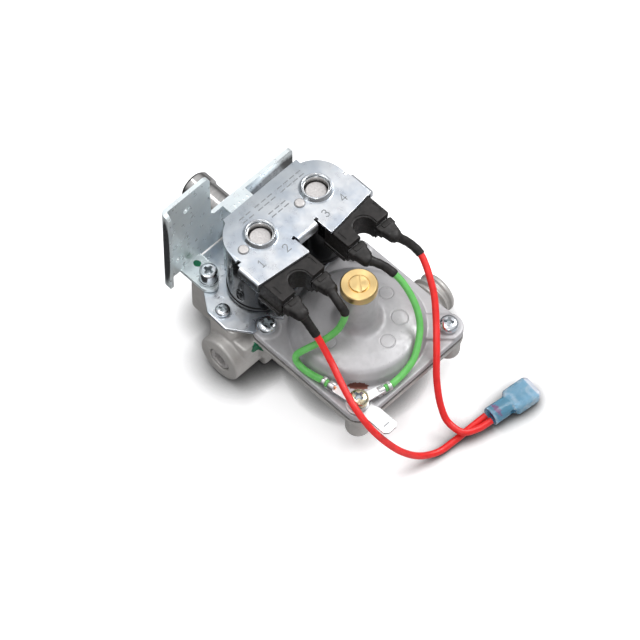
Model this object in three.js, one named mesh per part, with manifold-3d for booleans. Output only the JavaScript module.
// Redundant gas valve: a die-cast body with a pressure regulator under a domed cover and two
// solenoid valves in series. Millimetres, +Z up, origin under the cover's centre on the base face.
import * as THREE from 'three';
import { mergeVertices } from 'three/addons/utils/BufferGeometryUtils.js';
import Module from 'manifold-3d';

const wasm = await Module();
wasm.setup();

// ---------------------------------------------------------------- driving dimensions
const GAP = 0.3;                    // clearance between pieces that rest on each other
const COVER_HALF = 27.5;            // half width of the square cover and the body flange
const SCREW_HALF = 22.25;           // half spacing of the four cover screws
const CORNER_R = 5.25;              // corner radius of cover, gasket and flange
const FLANGE_Z = [18.0, 20.2];      // body flange
const GASKET_Z = [20.5, 21.3];      // clamped rim of the diaphragm
const COVER_Z = [21.6, 24.0];       // cover flange
const BOSS_Z = 10;                  // underside of the screw bosses
const BOSS_R = 4.5;
const SCREW_R = 2.0;
const SCREW_HOLE_R = 2.35;
const DOME_R = 24.2;
const DOME_TOP = 30.4;
const TOWER_TOP = 48.0;
const TOWER_R = [6.9, 6.3];         // at the foot and at the top
const TOWER_BORE_R = 4.6;
const CAP_R = 6.6;
const CAP_STEM_R = 4.2;
const CAP_Z = [48.5, 52.0];
const BLOCK_X = [-57, -28.2];       // solenoid block of the body
const BLOCK_Y = [-27, 29];
const BLOCK_Z = [6, 24];
const COIL_X = -35.9;               // solenoid axes
const COIL_Y = [-11.9, 15.2];
const COIL_R = 12.0;
const COIL_Z = [25.9, 54.9];
const COIL_BORE_R = 5.1;
const TUBE_R = [4.8, 4.2];          // plunger tube, outside and inside
const CORE_R = 3.9;
const BASE_PLATE_Z = [24.3, 25.5];
const TOP_PLATE_Z = [55.3, 56.5];
const FRAME_WALL_X = [-49.4, -48.2];
const POCKET_R = 8.0;               // valve chambers under the coils
const SEAT_TOP = 21.4;              // rim of each valve seat
const INLET = { x: 4, z: 11.6, r: 8, end: 37.4 };
const OUTLET = { y: 6.5, z: 12, r: 5.7, end: -89 };
const PLUG = { x: -31, z: 9.8, r: 9.0, face: -37.5, hole: 4.6 };
const BRACKET_X = [-60.6, -59.0];   // standing plate of the mounting bracket
const BRACKET_TOP = 69;
const BRACKET_FLANGE = { x: [-60.6, -56.3], y: [-35.6, -34.0], bottom: 25.4 };
const BASE_PLATE_BACK = -58.8;
const SHEET = 1.6;
const TAB = { width: 6.35, thick: 0.8 };     // quarter-inch ground tab
const BLADE_HALF = 2.4;             // half width of the coil blades
const TERMINAL_Z = 50.5;            // height of the four coil terminals
const BLOCK_FRONT = -12.0;          // front face of the terminal blocks
const TERMINAL_Y = [-21.7, -7.8, 9.9, 23.6];
const WIRE_R = 1.25;
const SLEEVE_R = 1.8;
const GROUND_Z = 24.3;              // underside of the ground tab on the front screw

// ---------------------------------------------------------------- materials
function material(color, roughness, metalness, extra = {}) {
  return new THREE.MeshStandardMaterial({ color, roughness, metalness, ...extra });
}
const castAluminium = material(0xb4afaa, 0.55, 0.8);
const coverAluminium = material(0xbab6b2, 0.5, 0.8);
const zincSheet = material(0xc3cad2, 0.3, 1.0);
const zincScrew = material(0xc9d0d6, 0.25, 1.0);
const yellowZinc = material(0xc0ad7a, 0.3, 1.0);
const brass = material(0xd9ae5c, 0.25, 1.0);
const brightSteel = material(0xd4d4d2, 0.2, 1.0);
const springSteel = material(0x9aa0a4, 0.3, 1.0);
const blackGloss = material(0x121314, 0.12, 0.0);
const blackMatte = material(0x2c2926, 0.6, 0.0);
const bootVinyl = material(0x26221f, 0.55, 0.0);
const rubber = material(0x1d1d1e, 0.8, 0.0);
const tinned = material(0xd9dbdb, 0.35, 1.0);
const redPvc = material(0xe5282c, 0.4, 0.0);
const greenPvc = material(0x56b04e, 0.4, 0.0);
const blueNylon = material(0x86bfe3, 0.3, 0.0, { transparent: true, opacity: 0.75 });
const whiteAcetal = material(0xe4e2dc, 0.45, 0.0);

// ---------------------------------------------------------------- solids
function signedVolume(positions, index) {
  const a = new THREE.Vector3();
  const b = new THREE.Vector3();
  const c = new THREE.Vector3();
  let volume = 0;
  for (let i = 0; i < index.length; i += 3) {
    a.fromArray(positions, index[i] * 3);
    b.fromArray(positions, index[i + 1] * 3);
    c.fromArray(positions, index[i + 2] * 3);
    volume += a.dot(b.cross(c)) / 6;
  }
  return volume;
}

function solid(geometry) {
  const bare = geometry.index ? geometry.toNonIndexed() : geometry.clone();
  bare.deleteAttribute('normal');
  bare.deleteAttribute('uv');
  const merged = mergeVertices(bare, 1e-4);
  const positions = merged.attributes.position.array;
  const all = merged.index.array;
  let faces = [];
  for (let i = 0; i < all.length; i += 3) {
    const [a, b, c] = [all[i], all[i + 1], all[i + 2]];
    if (a !== b && b !== c && c !== a) faces.push(a, b, c);
  }
  if (signedVolume(positions, faces) < 0) faces = faces.reverse();
  return new wasm.Manifold(new wasm.Mesh({
    numProp: 3,
    vertProperties: new Float32Array(positions),
    triVerts: new Uint32Array(faces),
  }));
}

function toGeometry(manifold) {
  const mesh = manifold.getMesh();
  const geometry = new THREE.BufferGeometry();
  geometry.setAttribute('position', new THREE.BufferAttribute(mesh.vertProperties, 3));
  geometry.setIndex(new THREE.BufferAttribute(mesh.triVerts, 1));
  geometry.computeVertexNormals();
  return geometry;
}

const join = (...parts) => parts.reduce((sum, part) => sum.add(part));
const cut = (from, ...tools) => tools.reduce((rest, tool) => rest.subtract(tool), from);

function box([x0, x1], [y0, y1], [z0, z1]) {
  const geometry = new THREE.BoxGeometry(x1 - x0, y1 - y0, z1 - z0);
  return solid(geometry.translate((x0 + x1) / 2, (y0 + y1) / 2, (z0 + z1) / 2));
}

// Cylinder along an axis, from a to b on that axis; centre gives the two other coordinates in order.
function rod(axis, radius, [a, b], centre, segments = 16, endRadius = radius) {
  const geometry = new THREE.CylinderGeometry(endRadius, radius, b - a, segments);
  const middle = (a + b) / 2;
  if (axis === 'z') return solid(geometry.rotateX(Math.PI / 2).translate(centre[0], centre[1], middle));
  if (axis === 'y') return solid(geometry.translate(centre[0], middle, centre[1]));
  return solid(geometry.rotateZ(-Math.PI / 2).translate(middle, centre[0], centre[1]));
}

// Body of revolution about a vertical axis through (x, y); profile is a list of [radius, height].
function turned(profile, segments = 20, x = 0, y = 0) {
  const points = profile.map(([r, z]) => new THREE.Vector2(r, z));
  const geometry = new THREE.LatheGeometry(points, segments);
  return solid(geometry.rotateX(Math.PI / 2).translate(x, y, 0));
}

function slab(shape, [z0, z1], curveSegments = 4) {
  const geometry = new THREE.ExtrudeGeometry(shape, { depth: z1 - z0, bevelEnabled: false, curveSegments });
  return solid(geometry.translate(0, 0, z0));
}

// Flat sheet standing in the Y-Z plane: the shape is drawn with Y across and Z up.
function standingSheet(shape, [x0, x1], curveSegments = 4) {
  const geometry = new THREE.ExtrudeGeometry(shape, { depth: x1 - x0, bevelEnabled: false, curveSegments });
  geometry.applyMatrix4(new THREE.Matrix4().makeBasis(
    new THREE.Vector3(0, 1, 0), new THREE.Vector3(0, 0, 1), new THREE.Vector3(1, 0, 0)));
  return solid(geometry.translate(x0, 0, 0));
}

function roundedRectangle([x0, x1], [y0, y1], r) {
  const shape = new THREE.Shape();
  shape.moveTo(x0 + r, y0);
  shape.lineTo(x1 - r, y0);
  shape.absarc(x1 - r, y0 + r, r, -Math.PI / 2, 0);
  shape.lineTo(x1, y1 - r);
  shape.absarc(x1 - r, y1 - r, r, 0, Math.PI / 2);
  shape.lineTo(x0 + r, y1);
  shape.absarc(x0 + r, y1 - r, r, Math.PI / 2, Math.PI);
  shape.lineTo(x0, y0 + r);
  shape.absarc(x0 + r, y0 + r, r, Math.PI, 1.5 * Math.PI);
  return shape;
}

function polygon(points) {
  return new THREE.Shape(points.map(([x, y]) => new THREE.Vector2(x, y)));
}

// Round bar of a radius along a curve.
function along(path, radius, steps, sides = 8) {
  const section = new THREE.Shape();
  for (let i = 0; i < sides; i += 1) {
    const angle = (2 * Math.PI * i) / sides;
    const place = [radius * Math.cos(angle), radius * Math.sin(angle)];
    if (i === 0) section.moveTo(...place);
    else section.lineTo(...place);
  }
  return solid(new THREE.ExtrudeGeometry(section, { extrudePath: path, steps, bevelEnabled: false }));
}

function spring(x, y, radius, wire, [z0, z1], turns) {
  const stepsPerTurn = 8;
  const points = [];
  for (let i = 0; i <= turns * stepsPerTurn; i += 1) {
    const angle = (2 * Math.PI * i) / stepsPerTurn;
    const z = z0 + wire + ((z1 - z0 - 2 * wire) * i) / (turns * stepsPerTurn);
    points.push([x + radius * Math.cos(angle), y + radius * Math.sin(angle), z]);
  }
  const path = new THREE.CatmullRomCurve3(points.map((p) => new THREE.Vector3(...p)), false, 'centripetal');
  return along(path, wire, turns * stepsPerTurn, 4);
}

function hexagon(acrossFlats, turn = 0) {
  const radius = acrossFlats / Math.sqrt(3);
  const points = [];
  for (let i = 0; i < 6; i += 1) {
    const angle = turn + (Math.PI * i) / 3;
    points.push([radius * Math.cos(angle), radius * Math.sin(angle)]);
  }
  return polygon(points);
}

const valve = new THREE.Group();

function addPart(name, manifold, surface) {
  const mesh = new THREE.Mesh(toGeometry(manifold), surface);
  mesh.name = name;
  valve.add(mesh);
}

const corners = [
  [-SCREW_HALF, -SCREW_HALF],
  [SCREW_HALF, -SCREW_HALF],
  [SCREW_HALF, SCREW_HALF],
  [-SCREW_HALF, SCREW_HALF],
];
const squareOutline = () => roundedRectangle([-COVER_HALF, COVER_HALF], [-COVER_HALF, COVER_HALF], CORNER_R);

// ---------------------------------------------------------------- valve body
function valveBody() {
  const bowl = turned([[0, 0], [13, 0], [14.5, 1.5], [20.5, 10], [21.5, 18.5], [0, 18.5]], 28);
  const flange = slab(squareOutline(), FLANGE_Z);
  const block = slab(roundedRectangle(BLOCK_X, BLOCK_Y, 3), BLOCK_Z, 3);
  const bridge = box([-30, -16], [-21, 24], [2, FLANGE_Z[0] + 1]);
  const foot = box([-40, -22.2], [-23.7, 10], [0, 12]);
  const plugBoss = join(
    rod('y', PLUG.r, [PLUG.face + 1, -20], [PLUG.x, PLUG.z], 24),
    rod('y', PLUG.r - 1, [PLUG.face, PLUG.face + 1], [PLUG.x, PLUG.z], 24, PLUG.r),
    box([-40.5, -22.2], [-33.2, -20], [PLUG.z, FLANGE_Z[0] + 1.5]),
    box([-40.5, BLOCK_X[1]], [-33.2, -20], [FLANGE_Z[0], BLOCK_Z[1]]),
  );
  const inletNeck = rod('y', INLET.r + 0.8, [10, 26], [INLET.x, INLET.z], 20);
  const outletNeck = rod('x', OUTLET.r, [-72, -50], [OUTLET.y, OUTLET.z], 18);
  let body = join(bowl, flange, block, bridge, foot, plugBoss, inletNeck, outletNeck, inletThread());
  for (const [x, y] of corners) {
    body = body.add(rod('z', BOSS_R, [BOSS_Z, FLANGE_Z[0] + 1], [x, y], 14));
  }
  for (const [x, y] of corners) {
    body = body.subtract(rod('z', SCREW_HOLE_R, [BOSS_Z - 1, 25], [x, y], 10));
  }
  return cut(body, ...galleries());
}

function inletThread() {
  const root = 24;
  const profile = [[0, root], [INLET.r, root]];
  const pitch = 2.4;
  const relief = INLET.end - 2.5;
  for (let i = 0; i < 3; i += 1) {
    const start = relief - (3.25 - i) * pitch;
    profile.push([INLET.r - 1, start], [INLET.r, start + pitch * 0.4], [INLET.r, start + pitch * 0.6]);
  }
  profile.push([INLET.r - 0.9, relief], [INLET.r - 0.3, relief + 0.6], [INLET.r - 0.3, INLET.end - 1]);
  profile.push([INLET.r - 1.3, INLET.end], [0, INLET.end]);
  const points = profile.map(([r, along]) => new THREE.Vector2(r, along));
  return solid(new THREE.LatheGeometry(points, 18).translate(INLET.x, 0, INLET.z));
}

function galleries() {
  const [first, second] = COIL_Y;
  const pocket = (y, floor) => cut(
    rod('z', POCKET_R, [floor, 30], [COIL_X, y], 18),
    rod('z', 3.8, [floor - 1, SEAT_TOP], [COIL_X, y], 12),
  );
  return [
    rod('z', 18.2, [11, 30], [0, 0], 24),                            // chamber under the diaphragm
    rod('z', 3.6, [2.5, 12], [0, 0], 12),                            // regulator seat
    rod('z', 7.5, [2.2, 8.6], [0, 0], 16),                           // regulator inlet chamber
    rod('y', 4.6, [21.5, INLET.end + 1], [INLET.x, INLET.z], 16),    // inlet port
    rod('y', 2.4, [5, 22.5], [INLET.x, 6.2], 8),                    // inlet to the regulator
    rod('x', 2.8, [-30, -15], [9, 14.5], 8),                        // regulator to second solenoid
    pocket(first, 9),
    pocket(second, 14.5),
    rod('z', 2, [9.5, 22], [COIL_X, second], 8),
    rod('y', 2, [-5, second + 0.5], [COIL_X, 11.5], 8),
    rod('z', 2, [4.6 + 2, 22], [COIL_X, first], 8),
    rod('x', 1.6, [-50, COIL_X + 0.5], [first, 7.8], 8),
    rod('y', 2.2, [first, OUTLET.y], [-50, 8.6], 8),
    rod('x', 3.6, [-73, -48], [OUTLET.y, OUTLET.z], 12),
    rod('y', PLUG.hole, [PLUG.face - 1, -28], [PLUG.x, PLUG.z], 16),  // plugged pressure tap
    rod('y', 1.5, [-29, -17], [PLUG.x, PLUG.z + 1], 8),
    rod('z', 1.6, [16, 30], [-37, -29.3], 8),                        // base plate screw
    rod('z', 1.9, [12, 30], [-49.2, -24.2], 8),                      // bracket screw
  ];
}

// ---------------------------------------------------------------- regulator
function regulatorCover() {
  const tower = [
    [TOWER_R[0] + 3, DOME_TOP - 0.2], [TOWER_R[0] + 1, DOME_TOP + 0.7], [TOWER_R[0], DOME_TOP + 3],
    [TOWER_R[1], TOWER_TOP - 0.4], [TOWER_R[1] - 0.4, TOWER_TOP],
  ];
  const outside = turned([
    [0, COVER_Z[0] + 1], [DOME_R, COVER_Z[0] + 1], [DOME_R, COVER_Z[1] + 0.6],
    [23.6, 26.0], [22.6, 27.7], [20.8, 29.1], [18, 29.9], [14, 30.3], ...tower, [0, TOWER_TOP],
  ], 30);
  const padWidth = 10.4;
  const bar = new THREE.BoxGeometry(24, padWidth, 2).translate(26, 0, COVER_Z[1]).rotateZ(Math.PI / 4);
  const padOutline = slab(squareOutline(), [COVER_Z[1] - 2, COVER_Z[1] + 2]);
  const inside = turned([
    [0, COVER_Z[0] - 1], [20.6, COVER_Z[0] - 1], [20.6, 25.5], [18.6, 27.4], [10, 28.2],
    [TOWER_BORE_R, 29], [TOWER_BORE_R, 60], [0, 60],
  ], 20);
  const padTrim = rod('z', DOME_R - 2, [COVER_Z[1], COVER_Z[1] + 3], [0, 0], 30);
  let cover = join(slab(squareOutline(), COVER_Z), cut(solid(bar).intersect(padOutline), padTrim), outside);
  cover = cover.subtract(inside);
  for (const [x, y] of corners) {
    cover = cover.subtract(rod('z', SCREW_HOLE_R, [COVER_Z[0] - 1, COVER_Z[1] + 3], [x, y], 10));
  }
  return cover.subtract(rod('z', 0.7, [25, 35], [-14.5, 9], 8));     // vent of the spring chamber
}

function diaphragm() {
  let sheet = slab(squareOutline(), GASKET_Z);
  sheet = sheet.subtract(rod('z', 9.4, [GASKET_Z[0] - 1, GASKET_Z[1] + 1], [0, 0], 24));
  for (const [x, y] of corners) {
    sheet = sheet.subtract(rod('z', SCREW_HOLE_R, [GASKET_Z[0] - 1, GASKET_Z[1] + 1], [x, y], 10));
  }
  return sheet;
}

function diaphragmPlate() {
  return turned([
    [0, 6.2], [5.4, 6.2], [5.4, 7.4], [1.6, 7.6], [1.6, 18], [9, 19.2], [9, 21.2],
    [8.2, 21.2], [8.2, 20.2], [2.4, 20.2], [2.2, 21.0], [0, 21.0],
  ], 18);
}

function springSeat() {
  return turned([[0, 37.6], [1.8, 37.6], [1.8, 39], [4.1, 39], [4.1, 40.4], [0, 40.4]], 14);
}

function adjustingScrew() {
  const stem = turned([[0, 40.7], [4.1, 40.7], [4.2, 41.2], [4.2, 43.9], [3.8, 44.3], [0, 44.3]], 14);
  return cut(stem, box([-5, 5], [-0.7, 0.7], [43, 46]));
}

function brassCap() {
  const [low, top] = CAP_Z;
  const stemEnd = low - 2.1;
  const body = turned([
    [0, stemEnd], [CAP_STEM_R - 0.5, stemEnd], [CAP_STEM_R, stemEnd + 0.4], [CAP_STEM_R, low],
    [CAP_R - 0.3, low], [CAP_R, low + 0.4], [CAP_R, top - 0.5], [CAP_R - 0.5, top], [0, top],
  ], 24);
  const raised = rod('z', 3.35, [top - 0.3, top + 0.6], [0, 0], 16);
  return cut(join(body, raised), box([-0.6, 0.6], [-3.6, 3.6], [top + 0.1, top + 1]));
}

function capGasket() {
  const inner = CAP_STEM_R + GAP;
  const [low, high] = [TOWER_TOP + 0.15, CAP_Z[0] - 0.15];
  return turned([[inner, low], [6.0, low], [6.0, high], [inner, high], [inner, low]], 18);
}

// ---------------------------------------------------------------- solenoids
function coil(y) {
  const bore = rod('z', COIL_BORE_R, [COIL_Z[0] - 1, COIL_Z[1] + 1], [COIL_X, y], 16);
  return cut(rod('z', COIL_R, COIL_Z, [COIL_X, y], 28), bore);
}

function coreTube(y) {
  const [outer, inner] = TUBE_R;
  return turned([
    [inner, 22.4], [7.2, 22.4], [7.2, 23.9], [outer, 23.9], [outer, 57.3], [inner, 57.3], [inner, 22.4],
  ], 16, COIL_X, y);
}

function coreRing(y) {
  const [outer] = TUBE_R;
  return turned([
    [outer + GAP, 56.8], [6.5, 56.8], [6.1, 57.2], [5.75, 58.0], [5.6, 58.5], [outer + GAP, 58.5],
    [outer + GAP, 56.8],
  ], 18, COIL_X, y);
}

function plunger(y) {
  return turned([
    [0, 24.2], [CORE_R, 24.2], [CORE_R, 39.4], [3.1, 39.4], [3.1, 34.4], [0, 34.4],
  ], 16, COIL_X, y);
}

function seatDisc(y) {
  return turned([[0, SEAT_TOP + 0.2], [3.7, SEAT_TOP + 0.2], [3.7, 23.9], [0, 23.9]], 14, COIL_X, y);
}

function fixedCore(y) {
  return turned([[0, 42.9], [CORE_R, 42.9], [CORE_R, 55.4], [0, 55.4]], 16, COIL_X, y);
}

function coilFrame() {
  const [first, second] = COIL_Y;
  const r = 12.4;
  const outline = new THREE.Shape();
  outline.moveTo(FRAME_WALL_X[0], first - 5.5);
  outline.lineTo(-46.2, first - 7.5);
  outline.absarc(COIL_X, first, r, 1.19 * Math.PI, 1.44 * Math.PI);
  outline.lineTo(-32.6, first - r - 0.6);
  outline.lineTo(-31.4, first - r - 2.2);
  outline.lineTo(-21.6, -26.4);
  outline.lineTo(-19.2, -4.6);
  outline.lineTo(-26, -4.2);
  outline.lineTo(-26, 5.8);
  outline.lineTo(-19.4, 6.2);
  outline.lineTo(-21.4, 28.2);
  outline.lineTo(-31.4, second + r + 1.0);
  outline.lineTo(-32.6, second + r - 0.2);
  outline.absarc(COIL_X, second, r, 0.56 * Math.PI, 0.81 * Math.PI);
  outline.lineTo(-46.2, second + 5.5);
  outline.lineTo(FRAME_WALL_X[0], second + 3.5);
  const top = slab(outline, TOP_PLATE_Z, 7);
  const wall = box(FRAME_WALL_X, [first - 5.3, second + 3.3], [25.8, TOP_PLATE_Z[1] - 0.2]);
  const tabs = join(
    box([-31, -22], [-26.2, -25.2], [52.2, TOP_PLATE_Z[1] - 0.2]),
    box([-31, -22], [27.1, 28.1], [52.2, TOP_PLATE_Z[1] - 0.2]),
    box([-27, -25.8], [-3.4, 5], [53.2, TOP_PLATE_Z[1] - 0.1]),
  );
  let frame = join(top, wall, tabs);
  for (const y of COIL_Y) {
    frame = frame.subtract(rod('z', COIL_BORE_R + 0.1, [50, 60], [COIL_X, y], 16));
  }
  return frame;
}

function basePlate() {
  const headClearance = 4.1;
  const outline = new THREE.Shape();
  outline.moveTo(BASE_PLATE_BACK, -26.6);
  outline.lineTo(-48.1, -27.9);
  outline.lineTo(-40.6, -33.2);
  outline.lineTo(-31.5, -33.6);
  outline.lineTo(-23.5, -27.9);
  outline.absarc(-SCREW_HALF, -SCREW_HALF, headClearance, -0.6 * Math.PI, -1.4 * Math.PI, true);
  outline.absarc(0, 0, 26, 1.21 * Math.PI, 0.9 * Math.PI, true);
  outline.lineTo(-28.6, 28);
  outline.lineTo(BASE_PLATE_BACK, 28);
  let plate = slab(outline, BASE_PLATE_Z, 7);
  for (const y of COIL_Y) {
    plate = plate.subtract(rod('z', COIL_BORE_R + 0.1, [20, 30], [COIL_X, y], 16));
  }
  plate = plate.subtract(rod('z', 1.9, [20, 30], [-37, -29.3], 8));
  return plate.subtract(rod('z', 2.2, [20, 30], [-49.2, -24.2], 8));
}

function terminalBlock([y0, y1]) {
  const middle = (y0 + y1) / 2;
  const notch = join(
    rod('z', 3.9, [30, 60], [-14.2, middle], 12),
    box([-14.2, -10], [middle - 3.9, middle + 3.9], [30, 60]),
  );
  const body = cut(box([-23.5, BLOCK_FRONT], [y0, y1], [45.2, 55]), notch);
  return cut(body, ...TERMINAL_Y.filter((y) => y > y0 && y < y1).map((y) => bladeSocket(y)));
}

function bladeSocket(y) {
  return box([-18, -10], [y - BLADE_HALF - GAP, y + BLADE_HALF + GAP], [TERMINAL_Z - 0.8, TERMINAL_Z + 0.8]);
}

function blade(y) {
  return box([-17.6, -7.4], [y - BLADE_HALF, y + BLADE_HALF], [TERMINAL_Z - 0.4, TERMINAL_Z + 0.4]);
}

// ---------------------------------------------------------------- brackets and fasteners
function mountingBracket() {
  const flange = BRACKET_FLANGE;
  const plate = new THREE.Shape();
  plate.moveTo(flange.y[0], 26.2);
  plate.lineTo(27, 26.2);
  plate.lineTo(27, 42.6);
  plate.absarc(24.6, 42.6, 2.4, 0, Math.PI / 2);
  plate.lineTo(-12, 45);
  plate.lineTo(-12, 46.2);
  plate.lineTo(-13, 46.2);
  plate.lineTo(-13.4, 66.4);
  plate.absarc(-15.6, 66.8, 2.2, 0, Math.PI / 2);
  plate.lineTo(flange.y[0], BRACKET_TOP);
  const footZ = BASE_PLATE_Z[1] + GAP;
  const foot = [[-59.8, -28.5], [-47.5, -28.5], [-45.3, -27.6], [-44.0, -25.6], [-44.3, -23.6],
    [-49.4, -18.8], [-59.8, -18.8]];
  let bracket = join(
    standingSheet(plate, BRACKET_X),
    box(flange.x, flange.y, [flange.bottom, BRACKET_TOP - 2.5]),
    box([flange.x[0], flange.x[1] - 2], flange.y, [BRACKET_TOP - 3, BRACKET_TOP]),
    slab(polygon(foot), [footZ, footZ + SHEET]),
    box([-60, -51], [-7.4, 3.4], [43.4, 45]),
  );
  for (const [y, z] of [[-24.5, 60.5], [-29, 34.5]]) {
    bracket = bracket.subtract(rod('x', 1.5, [-62, -57], [y, z], 16));
  }
  return bracket.subtract(rod('z', 2.2, [24, 30], [-49.2, -24.2], 12));
}

function crossSlots(x, y, top, size, depth) {
  return join(
    box([x - size, x + size], [y - 0.45, y + 0.45], [top - depth, top + 1]),
    box([x - 0.45, x + 0.45], [y - size, y + size], [top - depth, top + 1]),
  );
}

function screw(x, y, seat, { headR, headH, shankR, bottom }) {
  const top = seat + headH;
  const head = turned([
    [0, bottom], [shankR, bottom], [shankR, seat], [headR, seat], [headR, seat + headH * 0.45],
    [headR * 0.8, seat + headH * 0.85], [headR * 0.45, top], [0, top],
  ], 12, x, y);
  return cut(head, crossSlots(x, y, top, headR * 0.55, headH * 0.5));
}

function pipePlug() {
  const body = rod('y', PLUG.hole - GAP, [PLUG.face + 0.3, -28.4], [PLUG.x, PLUG.z], 18);
  const socket = new THREE.ExtrudeGeometry(hexagon(5.2, Math.PI / 6), { depth: 5, bevelEnabled: false });
  socket.rotateX(Math.PI / 2).translate(PLUG.x, PLUG.face + 4.5, PLUG.z);
  return cut(body, solid(socket));
}

function orifice() {
  const start = -72.3;
  const collar = rod('x', OUTLET.r + 0.6, [OUTLET.end, OUTLET.end + 6], [OUTLET.y, OUTLET.z], 18);
  const stem = rod('x', OUTLET.r - 0.1, [OUTLET.end + 5, start], [OUTLET.y, OUTLET.z], 18);
  const bore = rod('x', 0.9, [OUTLET.end - 1, start + 1], [OUTLET.y, OUTLET.z], 8);
  const mouth = rod('x', 3.4, [OUTLET.end + 3, start + 1], [OUTLET.y, OUTLET.z], 12);
  return cut(join(collar, stem), bore, mouth);
}

function inletScreen() {
  const rim = rod('y', 4.2, [29.5, 30.5], [INLET.x, INLET.z], 20);
  const openings = [];
  for (const dx of [-2, 0, 2]) {
    for (const dz of [-2, 0, 2]) {
      openings.push(box([INLET.x + dx - 0.6, INLET.x + dx + 0.6], [28, 32],
        [INLET.z + dz - 0.6, INLET.z + dz + 0.6]));
    }
  }
  return cut(rim, ...openings);
}

// ---------------------------------------------------------------- wiring
// Each lead leaves its boot on a coil terminal; a sleeve covers the first stretch of the route.
const leads = [
  {
    name: 'red_wire_1', surface: redPvc, steps: 22, sleeve: 10.4,
    route: [[-6.2, -21.7, 50.2], [-4.9, -21.5, 48.9], [-2.8, -20.9, 45.5], [0.1, -20.2, 41],
      [4.2, -20.4, 36.8], [8.6, -21.3, 33.9], [17.1, -24.6, 32.8], [25.5, -27.2, 31.6],
      [32.2, -27.2, 27.4], [37, -24.3, 20], [41, -19.4, 11.5], [43.8, -13, 4.6], [45.8, -6, 1.5],
      [46.5, 0.9, 1.35], [46.9, 8.2, 1.6], [47.8, 15.4, 2.9]],
  },
  {
    name: 'green_wire_1', surface: greenPvc, steps: 14, sleeve: 11,
    route: [[-6.2, -7.8, 50.4], [-3.2, -8.9, 50.8], [0.2, -9.6, 50], [2.4, -9.4, 47.4], [2.6, -9.4, 44.6],
      [2.3, -10.2, 41.6], [1.9, -12.1, 38.4], [0.2, -16.7, 35.2], [-2.7, -23, 32.8], [-4.6, -25.5, 29.8],
      [-4.2, -25.9, 26.9], [-1, -26, 25.7], [2.6, -25.7, 25.8], [7.2, -25, 26.4]],
  },
  {
    name: 'green_wire_2', surface: greenPvc, steps: 14, sleeve: 11,
    route: [[-5.8, 9.9, 50.2], [-2.4, 12, 49.2], [0.5, 13.5, 47.6], [4.7, 14.7, 45], [8.7, 14.9, 42.2],
      [13, 14.3, 38.6], [16.6, 12.9, 35.2], [19.4, 10.6, 32.5], [22.2, 6.7, 30], [24.4, 2.1, 27.8],
      [25.3, -4, 26.6], [25.4, -9.4, 26.4]],
  },
  {
    name: 'red_wire_2', surface: redPvc, steps: 22, sleeve: 12,
    route: [[-6.2, 23.6, 50.2], [-4.2, 24.9, 48.9], [-1.8, 26.7, 46.6], [2.2, 27.8, 43.7], [6.4, 26.6, 41.6],
      [10.9, 24.4, 39.2], [14.6, 22.4, 36.5], [20.3, 17.7, 31.8], [27.5, 10.7, 27.2], [32.1, 6.3, 19.6],
      [37.4, 3.4, 10.7], [41.5, 2.9, 5.8], [47.2, 4.2, 4.3], [49.6, 9.4, 3.2], [50.6, 15.2, 3.1]],
  },
];

// The stretch of a route between two distances along it, measured from its start.
class Stretch extends THREE.Curve {
  constructor(points, from, to) {
    super();
    const vectors = points.map((p) => new THREE.Vector3(...p));
    this.path = new THREE.CatmullRomCurve3(vectors, false, 'centripetal');
    this.path.arcLengthDivisions = 800;
    const length = this.path.getLength();
    this.from = from / length;
    this.to = to === undefined ? 1 : to / length;
  }

  getPoint(t, target = new THREE.Vector3()) {
    return this.path.getPointAt(this.from + (this.to - this.from) * t, target);
  }
}

function boot(y, { route, sleeve }) {
  const housing = box([BLOCK_FRONT + GAP, -6.4], [y - 3.7, y + 3.7], [TERMINAL_Z - 2.4, TERMINAL_Z + 2.4]);
  const pocket = box([-13, -7.1], [y - BLADE_HALF - GAP, y + BLADE_HALF + GAP],
    [TERMINAL_Z - 0.7, TERMINAL_Z + 0.7]);
  const neck = rod('x', 2.6, [-6.5, -4.8], [y, TERMINAL_Z - 0.2], 10, 2.0);
  return cut(join(housing, neck, along(new Stretch(route, 0, sleeve), SLEEVE_R, 5)), pocket);
}

function ringTerminal(from, z) {
  const [x, y] = [SCREW_HALF, -SCREW_HALF];
  const direction = new THREE.Vector2(x - from[0], y - from[1]);
  const length = direction.length();
  const angle = direction.angle();
  const turn = new THREE.Matrix4().makeRotationZ(angle).setPosition(from[0], from[1], 0);
  const crimpLength = 5;
  const tongue = new THREE.ExtrudeGeometry(roundedRectangle([crimpLength - 1.5, length], [-1.4, 1.4], 0.4),
    { depth: TAB.thick, bevelEnabled: false, curveSegments: 3 }).translate(0, 0, z);
  const barrel = new THREE.CylinderGeometry(1.75, 1.75, crimpLength, 10).rotateZ(Math.PI / 2)
    .translate(crimpLength / 2, 0, 26.4);
  const flat = join(rod('z', 3.6, [z, z + TAB.thick], [x, y], 16), solid(tongue.applyMatrix4(turn)));
  return cut(join(flat, solid(barrel.applyMatrix4(turn))),
    rod('z', SCREW_HOLE_R, [z - 2, z + 4], [x, y], 10));
}

function groundTab() {
  const y = -SCREW_HALF + 0.9;
  const half = TAB.width / 2;
  const outline = polygon([
    [19.5, -SCREW_HALF - 3.2], [27.5, -SCREW_HALF - 3.2], [28.8, y - half], [36.6, y - half],
    [37.8, y - half + 1.3], [37.8, y + half - 1.3], [36.6, y + half], [28.8, y + half],
    [27.5, -SCREW_HALF + 3.4], [19.5, -SCREW_HALF + 3.4],
  ]);
  const hole = rod('z', SCREW_HOLE_R, [20, 30], [SCREW_HALF, -SCREW_HALF], 10);
  return cut(slab(outline, [GROUND_Z, GROUND_Z + TAB.thick]), hole);
}

const CONNECTOR = { back: [49.35, 16.0, 3.3], turn: -0.124, length: 19.4, mouth: [9.6, 4.6] };

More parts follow.
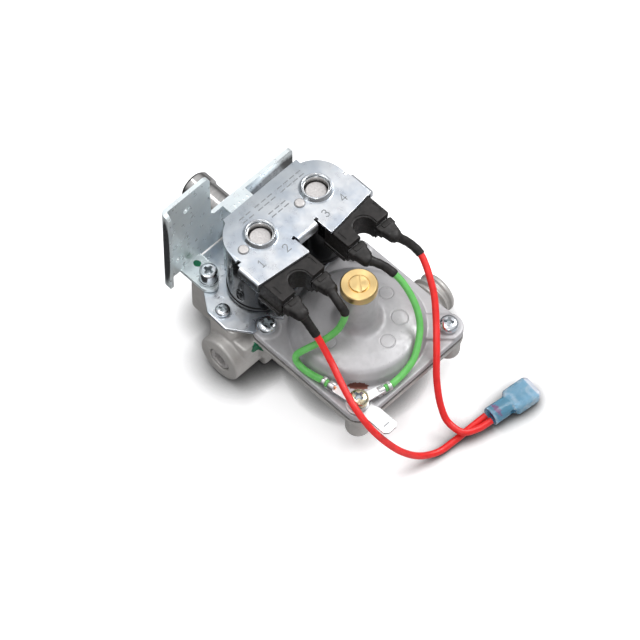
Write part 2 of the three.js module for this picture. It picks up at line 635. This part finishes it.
function placeConnector(geometry) {
  return solid(geometry.rotateZ(CONNECTOR.turn).translate(...CONNECTOR.back));
}

function connectorHousing() {
  const [width, height] = CONNECTOR.mouth;
  const barrel = new THREE.CylinderGeometry(3.2, 3.2, 8, 14).translate(0, 4, 0);
  const head = new THREE.BoxGeometry(width, 13, height).translate(0, CONNECTOR.length - 6.5, 0);
  const slot = new THREE.BoxGeometry(7.6, 14, 2.4).translate(0, CONNECTOR.length - 4.5, 0);
  const wireHole = new THREE.BoxGeometry(5.4, 12, 2.6).translate(0, 5, 0);
  const outside = join(placeConnector(barrel), placeConnector(head));
  return cut(outside, placeConnector(slot), placeConnector(wireHole));
}

function connectorReceptacle() {
  const sleeve = new THREE.BoxGeometry(6.9, 9.4, 1.8).translate(0, CONNECTOR.length - 6, 0);
  const slot = new THREE.BoxGeometry(6.1, 10, 0.9).translate(0, CONNECTOR.length - 5, 0);
  return cut(placeConnector(sleeve), placeConnector(slot));
}

// ---------------------------------------------------------------- assembly
addPart('valve_body', valveBody(), castAluminium);
addPart('regulator_cover', regulatorCover(), coverAluminium);
addPart('diaphragm', diaphragm(), rubber);
addPart('diaphragm_poppet', diaphragmPlate(), brightSteel);
addPart('regulator_spring', spring(0, 0, 3.1, 0.35, [20.5, 38.7], 6), springSteel);
addPart('spring_seat', springSeat(), whiteAcetal);
addPart('adjusting_screw', adjustingScrew(), whiteAcetal);
addPart('cap_gasket', capGasket(), rubber);
addPart('brass_cap', brassCap(), brass);

COIL_Y.forEach((y, i) => {
  const n = i + 1;
  addPart(`coil_${n}`, coil(y), blackGloss);
  addPart(`core_tube_${n}`, coreTube(y), brightSteel);
  addPart(`core_ring_${n}`, coreRing(y), brightSteel);
  addPart(`fixed_core_${n}`, fixedCore(y), brightSteel);
  addPart(`plunger_${n}`, plunger(y), brightSteel);
  addPart(`plunger_spring_${n}`, spring(COIL_X, y, 2.4, 0.3, [34.7, 42.6], 5), springSteel);
  addPart(`seat_disc_${n}`, seatDisc(y), rubber);
});
addPart('terminal_block_1', terminalBlock([-24.9, -4.4]), blackMatte);
addPart('terminal_block_2', terminalBlock([6.8, 26.7]), blackMatte);
addPart('coil_frame', coilFrame(), zincSheet);
addPart('base_plate', basePlate(), zincSheet);
addPart('mounting_bracket', mountingBracket(), zincSheet);

const coverScrew = { headR: 3.5, headH: 2.8, shankR: SCREW_R, bottom: 12 };
const coverSeats = [COVER_Z[1], GROUND_Z + 3 * TAB.thick + 2 * GAP, COVER_Z[1] + 1, COVER_Z[1]];
const coverScrewNames = ['left', 'front', 'right', 'back'];
corners.forEach(([x, y], i) => {
  addPart(`cover_screw_${coverScrewNames[i]}`, screw(x, y, coverSeats[i] + GAP, coverScrew),
    i === 1 ? yellowZinc : zincScrew);
});
addPart('base_plate_screw',
  screw(-37, -29.3, BASE_PLATE_Z[1] + GAP, { headR: 2.7, headH: 1.9, shankR: 1.3, bottom: 17 }), zincScrew);
addPart('bracket_screw',
  screw(-49.2, -24.2, BASE_PLATE_Z[1] + 2 * GAP + SHEET, { headR: 3.4, headH: 5.6, shankR: 1.6, bottom: 13 }),
  zincScrew);
addPart('pipe_plug', pipePlug(), castAluminium);
addPart('orifice', orifice(), brightSteel);
addPart('inlet_screen', inletScreen(), brightSteel);

leads.forEach((lead, i) => {
  addPart(`terminal_blade_${i + 1}`, blade(TERMINAL_Y[i]), tinned);
  addPart(`terminal_boot_${i + 1}`, boot(TERMINAL_Y[i], lead), bootVinyl);
  const bare = new Stretch(lead.route, lead.sleeve + GAP);
  addPart(lead.name, along(bare, WIRE_R, lead.steps), lead.surface);
});
addPart('ring_terminal_1', ringTerminal([7.6, -24.9], GROUND_Z + TAB.thick + GAP), tinned);
addPart('ring_terminal_2', ringTerminal([25.4, -9.8], GROUND_Z + 2 * (TAB.thick + GAP)), tinned);
addPart('ground_tab', groundTab(), tinned);
addPart('connector_housing', connectorHousing(), blueNylon);
addPart('connector_receptacle', connectorReceptacle(), tinned);

export default valve;
